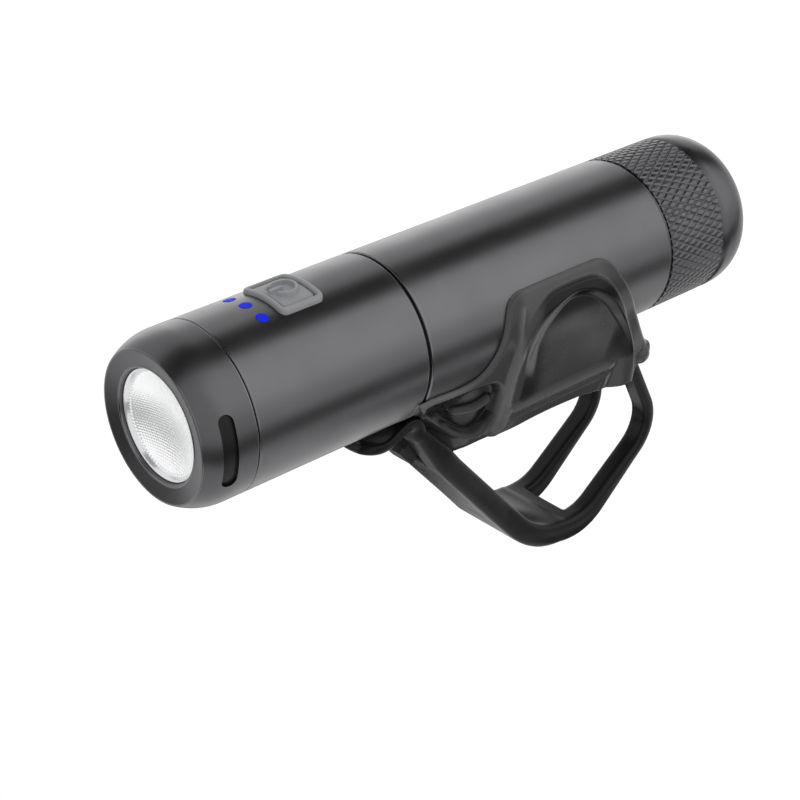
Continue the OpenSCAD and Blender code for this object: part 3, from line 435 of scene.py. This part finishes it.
def away(u, v, line):
    """Distance from each point u, v to a line of points: the least over its pieces, foot kept on the piece."""
    a, d = line[:-1], np.diff(line, axis=0)
    p = np.stack([u, v], -1)[..., None, :] - a
    k = np.clip((p * d).sum(-1) / (d * d).sum(-1), 0.0, 1.0)
    return np.linalg.norm(p - k[..., None] * d, axis=-1).min(-1)


def inside(u, v, ring):
    """True where u, v lies in a closed ring: a level line to the right of it crosses the ring an odd count."""
    a, b = ring, np.roll(ring, -1, 0)
    u, v = u[..., None], v[..., None]
    span = (a[:, 1] > v) != (b[:, 1] > v)
    slope = np.where(a[:, 1] == b[:, 1], 1.0, b[:, 1] - a[:, 1])
    return (span & (u < a[:, 0] + (b[:, 0] - a[:, 0]) * (v - a[:, 1]) / slope)).sum(-1) % 2 == 1


# %% [markdown]
# The side of the saddle is measured with x along the light and s down the side, as if it were peeled off
# and laid flat. A reference side, an arc round the tube and then a flat flank, turns each x, s into a
# place. The flank leans in towards the seat, less so at the rear, and towards the front it melts into the
# arc, so that the block tapers into the lip. A wall of the thickness REST lies right on this reference.

# %% side of the saddle
SIDE_R = 16.4
REST = 1.35
START = np.radians(55.0)


def flank_lean(x):
    """Angle of the flank's normal below level: the line from the foot that touches the arc."""
    rear = smooth(-5.0, -13.0, x)
    foot_y, foot_z = 8.0 + 2.0 * rear, 13.3 - 3.0 * rear - AXIS_Z
    return np.arctan2(foot_z, foot_y) + np.arccos(SIDE_R / np.hypot(foot_y, foot_z))


def side(x, s):
    """Place and normal of the reference side: arc angle 55 degrees + s / R, then a straight flank; melt
    blends from the flank, 0, to the arc carried on round the tube, 1."""
    melt = smooth(22.0, 39.0, x)
    lean = flank_lean(x)
    flank_s = SIDE_R * (np.pi / 2 - lean - START)
    turn = START + s / SIDE_R
    arc = np.stack([np.sin(turn), np.cos(turn)], -1)
    flat_n = np.stack([np.cos(lean), np.sin(lean)], -1) + 0.0 * arc
    down = np.stack([np.sin(lean), -np.cos(lean)], -1) * np.maximum(s - flank_s, 0.0)[..., None]
    share = np.where(s > flank_s, 1.0 - melt, 0.0)[..., None]
    place = SIDE_R * arc + share * (SIDE_R * flat_n + down - SIDE_R * arc)
    normal = arc + share * (flat_n - arc)
    return place + np.array([0.0, AXIS_Z]), normal / np.linalg.norm(normal, axis=-1, keepdims=True)


# %% [markdown]
# Two lines give the outline in x and z: the upper edge climbs from the rear bead, runs level along the
# wing, and swings down in an S to the lip. The lower edge follows the rear lobe, runs above the
# handlebar, and then climbs beside the strap's front leg. Each height is looked up on the reference side
# to find how far down it lies.

# %% outline of the saddle
upper = spline([(-18.6, 19.0), (-18.0, 20.3), (-16.3, 21.6), (-12.2, 28.1), (-8.0, 35.4), (-4.6, 41.0), (-2.9, 43.3),
                (-0.6, 44.6), (3.0, 44.75), (9.0, 44.75), (16.0, 44.75), (19.6, 44.6), (21.7, 43.4), (22.9, 41.0),
                (23.9, 37.5), (25.2, 34.2), (27.0, 31.2), (29.4, 29.6), (33.0, 29.2), (38.0, 29.6), (42.0, 29.4)])
lower = spline([(-18.6, 17.4), (-17.4, 16.2), (-15.6, 14.6), (-15.4, 12.4), (-14.9, 10.4), (-13.2, 9.3),
                (-10.2, 10.1), (-6.6, 12.0), (-3.4, 13.6), (3.0, 14.2), (9.0, 14.3), (14.0, 14.0), (20.0, 13.2),
                (26.0, 11.4)])
x = np.unique(np.concatenate([np.linspace(-18.6, -14.0, 40), np.linspace(-14.0, 41.0, 190),
                              np.linspace(41.0, 42.0, 10)]))
LEG_TILT = np.radians(49.5)
SLOPE = np.tan(LEG_TILT)
top_z = np.interp(x, *upper.T)
low_z = np.where(x < 26.0, np.interp(x, *lower.T), 0.0)
low_z = np.maximum(low_z, 11.8 + SLOPE * (x - 26.4))
trail = np.linspace(0.0, SIDE_R * (np.pi - START), 1201)
fall = side(x[:, None], trail[None, :] + 0.0 * x[:, None])[0][..., 1]
top_s = trail[np.argmax(fall <= top_z[:, None], axis=1)]
low_s = np.where(fall.min(1) < low_z, trail[np.argmax(fall <= low_z[:, None], axis=1)], trail[-1])
print("saddle", len(x), "cuts, lowest", round(low_z.min(), 2), "highest", round(top_z.max(), 2))

# %% [markdown]
# The relief of the side is a thickness over the tube, given at each x, s. A thin skirt runs all round; a
# thicker panel stands on it; the panel carries an arched pocket, a ledge, and a hollow with a small bar
# ahead of it. Each is a distance to a line, put through a smooth step, so that every edge comes out soft
# like rubber from a mould.

# %% relief of the saddle
DOWN = 120
s = top_s[:, None] + (low_s - top_s)[:, None] * np.linspace(0.0, 1.0, DOWN)
X = x[:, None] + 0.0 * s
fore = [(24.4, 36.9), (21.5, 35.9), (20.1, 34.8), (18.7, 32.5), (18.6, 29.3), (19.2, 25.2), (20.1, 20.3), (20.5, 14.6)]
crease = spline(fore + [(20.5, 11.6), (20.2, 9.0), (19.6, 6.4)], 6)
panel = spline([(26.0, 44.0)] + fore + [
    (19.4, 10.4), (17.4, 7.8), (14.5, 5.8), (11.5, 4.9), (4.0, 4.9), (0.5, 6.0), (-2.5, 9.0),
    (-6.6, 15.6), (-11.0, 23.4), (-13.6, 30.4), (-14.6, 36.6), (-14.8, 44.0)], 6)
arch = spline([(16.6, 26.2), (18.0, 20.4), (19.0, 15.4), (18.2, 11.8), (15.4, 8.4), (10.0, 6.6), (6.0, 6.4),
               (2.0, 7.8), (-2.0, 11.0), (-5.0, 14.7), (-8.6, 19.2), (-10.9, 22.6), (-12.5, 26.5)], 6)
hollow = spline([(19.3, 30.5), (19.6, 27.3), (20.4, 24.0), (22.2, 21.2), (25.4, 19.7), (30.0, 19.4), (35.0, 19.3),
                 (39.0, 18.9), (39.8, 20.6), (37.0, 26.0), (31.0, 33.0), (25.4, 35.6), (21.6, 34.4),
                 (19.3, 30.5)], 6)
panel_d = away(X, s, panel) * np.where(inside(X, s, panel), 1.0, -1.0)
arch_d = away(X, s, arch) * inside(X, s, np.vstack([arch, [(-7.0, 28.0), (15.6, 28.0)]]))
hollow_d = away(X, s, hollow) * inside(X, s, hollow)
bar_d = away(X, s, spline([(28.6, 28.9), (25.0, 28.2), (22.0, 26.6)], 6))
bar = np.sqrt(np.clip(1.0 - (bar_d / 0.85) ** 2, 0.0, 1.0))
standing = smooth(-0.4, 0.4, panel_d)
ledge = (smooth(-9.0, -6.5, x) * smooth(25.0, 14.0, x))[:, None] * standing
ridge = away(X, s, crease)
top_d = np.minimum((s - top_s[:, None]) / np.hypot(1.0, np.gradient(top_s, x))[:, None], 42.0 - X)
low_d = (low_s[:, None] - s) / np.hypot(1.0, np.gradient(low_s, x))[:, None] + 3.0 * smooth(24.0, 37.0, X)
fade = smooth(0.4, 2.0, low_d)

# %% [markdown]
# The thickness adds up from these forms: a skirt of 0.9 mm, the panel on it, less the pocket and the hollow, plus the
# ledge, the bar and thin ridges. A flank that leans in could sink into the tube, so the thickness is kept from falling
# below the one that just clears it: the root of the square equation for where a place's normal meets a circle a little
# larger than the tube. Then the rims are rounded. The tone goes with the forms and is mostly painted light: painted
# highlights make the rims, ridges, the ledge and the bar lightest, and painted shade makes the hollow darkest and
# darkens the pocket, a zone round the arch and parts of the skirt.

# %% thickness and tone
CLEAR_R = TORCH_R + 0.3
TOP_ROUND, LOW_ROUND = 0.8, 1.3
thick = 0.9 + 0.95 * standing
thick -= smooth(0.0, 1.0, arch_d / (1.6 + 2.4 * smooth(8.0, 16.0, X))) * smooth(27.0, 12.0, s)
thick += 0.05 * bell(away(X, s, arch), 0.8) + 0.4 * fade * bell(ridge, 0.55)
thick += ledge * (0.9 * smooth(27.6, 28.9, s) - 0.5 * bell(s - 30.5, 0.5))
room = 2.0 - 1.4 * smooth(26.0, 38.0, X)
thick -= room * smooth(0.0, 1.5, hollow_d) - 1.1 * bar
# the pocket darker just inside the arch wall: painted shade in the recess
tone = 0.32 + 0.3 * standing + 0.28 * smooth(0.2, 1.2, arch_d) * smooth(7.0, 2.5, arch_d)
# a darker zone of the panel round the arch: painted shade
tone += 0.36 * standing * smooth(1.4, 0.2, arch_d) * smooth(17.5, 14.5, X) * smooth(28.6, 26.0, s)
# the skirt darker beside the front hollow and at the rear of the wing: painted shade
tone += 0.3 * (1.0 - standing) * (smooth(18.0, 20.5, X) * smooth(34.0, 28.0, X) + smooth(1.0, -3.0, X))
# lighter along the crease, the upper rim and the ledge: painted highlights
tone -= 0.6 * fade * bell(ridge, 0.6) + 0.32 * bell(top_d, 0.5) + 0.4 * ledge * bell(s - 28.9, 0.6)
# the hollow darkest: painted shade; the bar lighter: painted highlight
tone = np.maximum(tone, smooth(0.0, 0.9, hollow_d)) - 0.5 * bar
place, normal = side(X, s)
from_axis = place - np.array([0.0, AXIS_Z])
reach = (from_axis * normal).sum(-1)
root = np.sqrt(np.maximum(reach ** 2 - (from_axis ** 2).sum(-1) + CLEAR_R ** 2, 0.0))
thick = np.maximum(thick, REST - reach + root)
thick *= round_off(top_d, TOP_ROUND)
thick *= round_off(low_d, LOW_ROUND)
flank = place + (thick - REST)[..., None] * normal

# %% [markdown]
# Each cut now becomes a closed loop: down one side, across the underside, up the other side, and back
# round the tube that the saddle hugs. The underside steps in to a narrower pad that sits on the
# handlebar. The two ends are closed with one face each.

# %% saddle
INNER_R = TORCH_R + 0.05
SEAT_R, PAD_Z = 12.75, 10.9
y0, z0 = flank[:, :1, 0], flank[:, :1, 1]
y1, z1 = flank[:, -1:, 0], flank[:, -1:, 1]
across = np.linspace(1.0, -1.0, 43)[1:-1]
seat = np.where(np.abs(x) < 11.0, np.maximum(np.sqrt(np.maximum(SEAT_R ** 2 - x ** 2, 0.0)), PAD_Z), PAD_Z)
pad = np.minimum(np.maximum(seat, 11.5 + SLOPE * (x - 26.4)), z1[:, 0])
pad = z1[:, 0] + (pad - z1[:, 0]) * smooth(-11.5, -9.0, x)
under = np.stack([y1 * across, z1 + (pad[:, None] - z1) * smooth(0.86, 0.7, np.abs(across))], -1)
turn = np.arccos(np.clip((z0 - AXIS_Z) / INNER_R, -1.0, 1.0))
hug_turn = turn + (2.0 * np.pi - 2.0 * turn) * np.linspace(1.0, 0.0, 60)
hug = np.stack([INNER_R * np.sin(hug_turn), np.minimum(AXIS_Z + INNER_R * np.cos(hug_turn), z0)], -1)
shelf = np.linspace(0.0, 1.0, 6)[1:-1]
reach_in = np.stack([y0 + (INNER_R * np.sin(turn) - y0) * shelf, z0 + 0.0 * shelf], -1)
mirror = np.array([-1.0, 1.0])
loop = np.concatenate([flank, under, (flank * mirror)[:, ::-1], reach_in * mirror, hug, reach_in[:, ::-1]], 1)
n = loop.shape[1]
points = np.concatenate([np.repeat(x[:, None, None], n, 1), loop], -1)
shade = np.zeros((len(x), n))
far = DOWN + len(across)
shade[:, :DOWN] = tone
shade[:, DOWN:far] = 0.6
shade[:, far:far + DOWN] = tone[:, ::-1]
ends = [np.arange(n), np.arange(n) + (len(x) - 1) * n]
build("saddle_moulding", points.reshape(-1, 3), grid_faces(len(x), n, wrap=True), smoky, "light", ["saddle"],
      sharp=75, ends=ends, tone=shade.ravel())

# %% [markdown]
# A round bead crosses the back of the saddle where the strap's two legs leave it. It is a capsule: a
# circle carried along Y, shrinking to a point over a half ball at each end. It is thin and pale like the
# rims of the saddle.

# %% rear bead
BEAD_R, BEAD_END = 2.2, 12.4
BEAD_X, BEAD_Z, BEAD_TONE = -16.6, 18.2, 0.4
t = np.linspace(-1.0, 1.0, 61)
ball = np.clip((np.abs(t) * BEAD_END - BEAD_END + BEAD_R) / BEAD_R, 0.0, 1.0)
ring = BEAD_R * np.sqrt(1.0 - ball ** 2)[:, None]
a = np.linspace(0.0, 2.0 * np.pi, 40, endpoint=False)
points = np.stack([BEAD_X + ring * np.cos(a), BEAD_END * t[:, None] + 0.0 * a, BEAD_Z + ring * np.sin(a)], -1)
build("saddle_bead", points.reshape(-1, 3), grid_faces(len(t), len(a), wrap=True), smoky, "light", (),
      tone=np.full(len(t) * len(a), BEAD_TONE))

# %% [markdown]
# The strap is one moulding from the bead, round under the handlebar and up to the pull tab. Behind the
# bar it is two legs, and in front it has a window that hooks over a peg. Only its middle line is drawn:
# a bend, a tangent, an arc round the bar, a straight leg and a curved tab. A grid follows that line, the
# faces between the legs and in the window are left out, and the two skins are joined along every rim.

# %% path of the strap
def arc(centre, radius, start, end, n):
    """n points of a circle between two angles in degrees: centre + radius (cos a, sin a)."""
    a = np.radians(np.linspace(start, end, n))
    return np.asarray(centre) + radius * np.stack([np.cos(a), np.sin(a)], -1)


MID_R = 15.1
rear_bend = arc((-15.27, 1.5), 7.6, 154.0, 236.0, 60)
bar_arc = arc((0.0, 0.0), MID_R, -124.0, -40.5, 80)
front_leg = bar_arc[-1] + np.array([[34.9], [35.9]]) * np.array([np.cos(LEG_TILT), np.sin(LEG_TILT)])
tab = spline(np.vstack([front_leg, [(35.3, 19.4), (36.9, 20.5), (39.0, 19.9), (41.4, 18.7), (43.6, 18.25),
                                    (45.4, 18.6), (46.5, 19.2)]]))
line = np.vstack([[(-16.6, 16.2)], rear_bend, bar_arc, tab])
round_bar = np.degrees(np.arctan2(line[:, 1], line[:, 0]))
slack = 1.1 * smooth(-80.0, -118.0, round_bar) * smooth(-176.0, -140.0, round_bar) * (line[:, 0] < 0.0)
line += slack[:, None] * line / np.linalg.norm(line, axis=1, keepdims=True)
length = np.concatenate([[0.0], np.cumsum(np.linalg.norm(np.diff(line, axis=0), axis=1))])
split = length[len(rear_bend) + 20]
leg = length[len(rear_bend) + len(bar_arc)]
WINDOW = leg + 31.9
print("strap path", round(length[-1], 1), "mm, legs join at", round(split, 1), "front leg from", round(leg, 1))

# %% [markdown]
# The strap is over 4 mm thick round the bar, thins to 2.4 mm where the legs meet the bead, and to about
# 2 mm at the tab, which dishes to suit the round light above it and ends round. It narrows where the
# front leg begins, and a little more below the tab. Its edges are rounded over 1.4 mm at most: there the
# thickness falls to nothing by a rule with cubes, which keeps the section squarer than circles would, and
# the two skins close by themselves. Rows and columns crowd together at the rims to follow that curve.

# %% grid of the strap
def crowded(start, end, n):
    """n numbers from start to end that crowd at both: u - 0.8 sin(2 pi u) / (2 pi) of the way."""
    u = np.linspace(0.0, 1.0, n)
    return start + (end - start) * (u - 0.8 * np.sin(2.0 * np.pi * u) / (2.0 * np.pi))


STRAP_HALF, LEG_IN, WINDOW_HALF, WINDOW_L = 9.0, 4.7, 3.4, 3.6
stops = [0.0, split, WINDOW - WINDOW_L, WINDOW + WINDOW_L, length[-1]]
l = np.concatenate([crowded(a, b, n)[:-1] for a, b, n in zip(stops, stops[1:], (64, 64, 14, 40))] + [length[-1:]])
stops = [-STRAP_HALF, -LEG_IN, -WINDOW_HALF, WINDOW_HALF, LEG_IN, STRAP_HALF]
y = np.concatenate([crowded(a, b, n)[:-1] for a, b, n in zip(stops, stops[1:], (15, 6, 13, 6, 15))] + [[STRAP_HALF]])
rows, cols = len(l), len(y)
mid = np.stack([np.interp(l, length, line[:, k]) for k in (0, 1)], -1)
slope = np.gradient(mid, l, axis=0)
slope /= np.linalg.norm(slope, axis=1, keepdims=True)
outward = np.stack([slope[:, 1], -slope[:, 0]], -1)

# %% [markdown]
# The two skins are joined into one mesh, built in place, and the CAD nodes of the strap are hidden.

# %% strap
TIP_L, TIP_POWER, SOFT_EDGE, DISH_R = 5.5, 2.6, 1.4, 15.9
sheet_t = np.interp(l, [0.0, 24.0, split, leg + 28.0, leg + 37.0, length[-1]],
                    [2.4, 2.6, 4.6, 4.6, 2.4, 2.0])[:, None]
tip = np.clip((l - (length[-1] - TIP_L)) / TIP_L, 0.0, 0.94)
taper = 1.0 - 0.14 * smooth(leg - 8.0, leg + 8.0, l) - 0.09 * smooth(leg + 26.0, leg + 38.0, l)
width = (taper * (1.0 - tip ** TIP_POWER) ** (1.0 / TIP_POWER))[:, None]
Y = np.abs(width * y)
L = l[:, None] + 0.0 * Y
to_gap = np.hypot(np.maximum(L - split, 0.0), np.maximum(Y - LEG_IN, 0.0))
to_window = np.hypot(np.maximum(np.abs(L - WINDOW) - WINDOW_L, 0.0), np.maximum(Y - WINDOW_HALF * width, 0.0))
rim = np.min([STRAP_HALF * width - Y, length[-1] - L, L, to_gap, to_window], axis=0)
inward = np.clip(rim / np.minimum(0.5 * sheet_t, SOFT_EDGE), 0.0, 1.0)
half = 0.5 * sheet_t * (1.0 - (1.0 - inward) ** 3) ** (1.0 / 3.0)
lift = smooth(leg + 24.0, leg + 36.0, L) * (DISH_R - np.sqrt(DISH_R ** 2 - Y ** 2))
skins = [np.stack([mid[:, :1] + k * half * outward[:, :1], width * y,
                   mid[:, 1:] + k * half * outward[:, 1:] + lift], -1) for k in (1.0, -1.0)]
row_l, col_y = np.meshgrid((l[1:] + l[:-1]) / 2, np.abs(y[1:] + y[:-1]) / 2, indexing="ij")
open_cell = (row_l < split) & (col_y < LEG_IN) | (np.abs(row_l - WINDOW) < WINDOW_L) & (col_y < WINDOW_HALF)
outer = grid_faces(rows, cols)[~open_cell.ravel()]
used, faces = np.unique(np.vstack([outer, outer[:, ::-1] + rows * cols]), return_inverse=True)
strap = build("pull_strap", np.concatenate(skins).reshape(-1, 3)[used], faces.reshape(-1, 4), rubber, sharp=80)
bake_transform(strap)
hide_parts("strap_rear", "strap_front")

# %% [markdown]
# The camera stands in front of the light, to its left and a little above, a third of a metre away. Its
# place and its three axes come from fitting the seams and outlines of the turned body.

# %% camera
lens = bpy.data.cameras.new("camera")
lens.sensor_width = 36.0
lens.lens = 91.53
camera = bpy.data.objects.new("camera", lens)
scene.collection.objects.link(camera)
camera.matrix_world = Matrix((
    (-0.74566, -0.33092, 0.57834, 0.24003),
    (0.66628, -0.35994, 0.65308, 0.23264),
    (-0.00795, 0.87232, 0.48888, 0.19706),
    (0.0, 0.0, 0.0, 1.0),
))
scene.camera = camera

# %% [markdown]
# The studio is a pale floor under an even white sky, with two large soft lamps. Black cards stand out of
# sight, as they do round shiny metal in a real studio: only mirror-like surfaces see them, and they draw
# the dark bands along the tube and the mount that show how round these are. What the camera or a reflection
# sees of sky and floor is lifted to white, while the light that falls on the part stays at a plain level.

# %% floor and cards
def level(name, x, y, z, material):
    """Level stage piece over a range of x and of y at height z, in metres."""
    mesh = bpy.data.meshes.new(name)
    mesh.from_pydata([(x[0], y[0], z), (x[1], y[0], z), (x[1], y[1], z), (x[0], y[1], z)], [], [(0, 1, 2, 3)])
    mesh.materials.append(material)
    obj = bpy.data.objects.new(name, mesh)
    scene.collection.objects.link(obj)
    return obj


def seen(tree, low, high):
    """A socket that is high for rays from the camera, a reflection or through glass, and low for others."""
    ray = add(tree, "ShaderNodeLightPath")
    direct = add(tree, "ShaderNodeMath", {0: ray.outputs["Is Camera Ray"], 1: ray.outputs["Is Glossy Ray"]},
                 operation="ADD")
    clear = add(tree, "ShaderNodeMath", {0: direct.outputs[0], 1: ray.outputs["Is Transmission Ray"]},
                operation="ADD")
    span = add(tree, "ShaderNodeMapRange", {"Value": clear.outputs[0], "To Min": low, "To Max": high})
    return span.outputs["Result"]


paper = finish("white_paper", "#fbfbfb", "#f8f8f8", (0.8, 0.9), 0.6, 0.01, patch=60.0, emission_color=WHITE)
tree = paper.node_tree
tree.links.new(seen(tree, 0.0, 0.14), tree.nodes["Principled BSDF"].inputs["Emission Strength"])
level("floor", (-15.0, 15.0), (-15.0, 15.0), -0.16, paper)
card = finish("black_card", "#0a0a0a", "#080808", (0.9, 0.95), 1.0, 0.01)
cards = [
    level("card_above", (-1.6, 0.9), (-0.26, 0.13), 0.6, card),
    level("card_low", (-1.4, 0.8), (0.165, 0.44), -0.1, card),
    level("card_front", (0.31, 0.9), (-0.7, 0.3), -0.12, card),
    level("card_under", (-0.25, 0.05), (-0.42, -0.11), -0.13, card),
    level("card_mount", (-0.15, -0.075), (-0.07, 0.14), -0.13, card),
]
for obj in cards:
    obj.visible_camera = obj.visible_diffuse = obj.visible_shadow = obj.visible_transmission = False

# %% [markdown]
# The white sky lights the part from everywhere, as a photographer's tent does. The lamps are softboxes, one
# high on the near side and one low behind, and both aim at the middle of the part.

# %% sky and lamps
world = bpy.data.worlds.new("sky")
scene.world = world
world.use_nodes = True
sky = world.node_tree.nodes["Background"]
sky.inputs["Color"].default_value = WHITE
world.node_tree.links.new(seen(world.node_tree, 0.85, 1.0), sky.inputs["Strength"])

for name, place, size, power in (("side_lamp", (-0.5, 0.75, 0.7), (1.3, 1.2), 2.4),
                                 ("back_lamp", (-0.8, -1.1, 0.22), (1.4, 0.72), 2.2)):
    lamp = bpy.data.lights.new(name, "AREA")
    lamp.shape = "RECTANGLE"
    lamp.size, lamp.size_y = size
    lamp.energy = power
    softbox = bpy.data.objects.new(name, lamp)
    scene.collection.objects.link(softbox)
    softbox.location = place
    softbox.rotation_euler = (-softbox.location).to_track_quat("-Z", "Y").to_euler()
    softbox.visible_camera = False
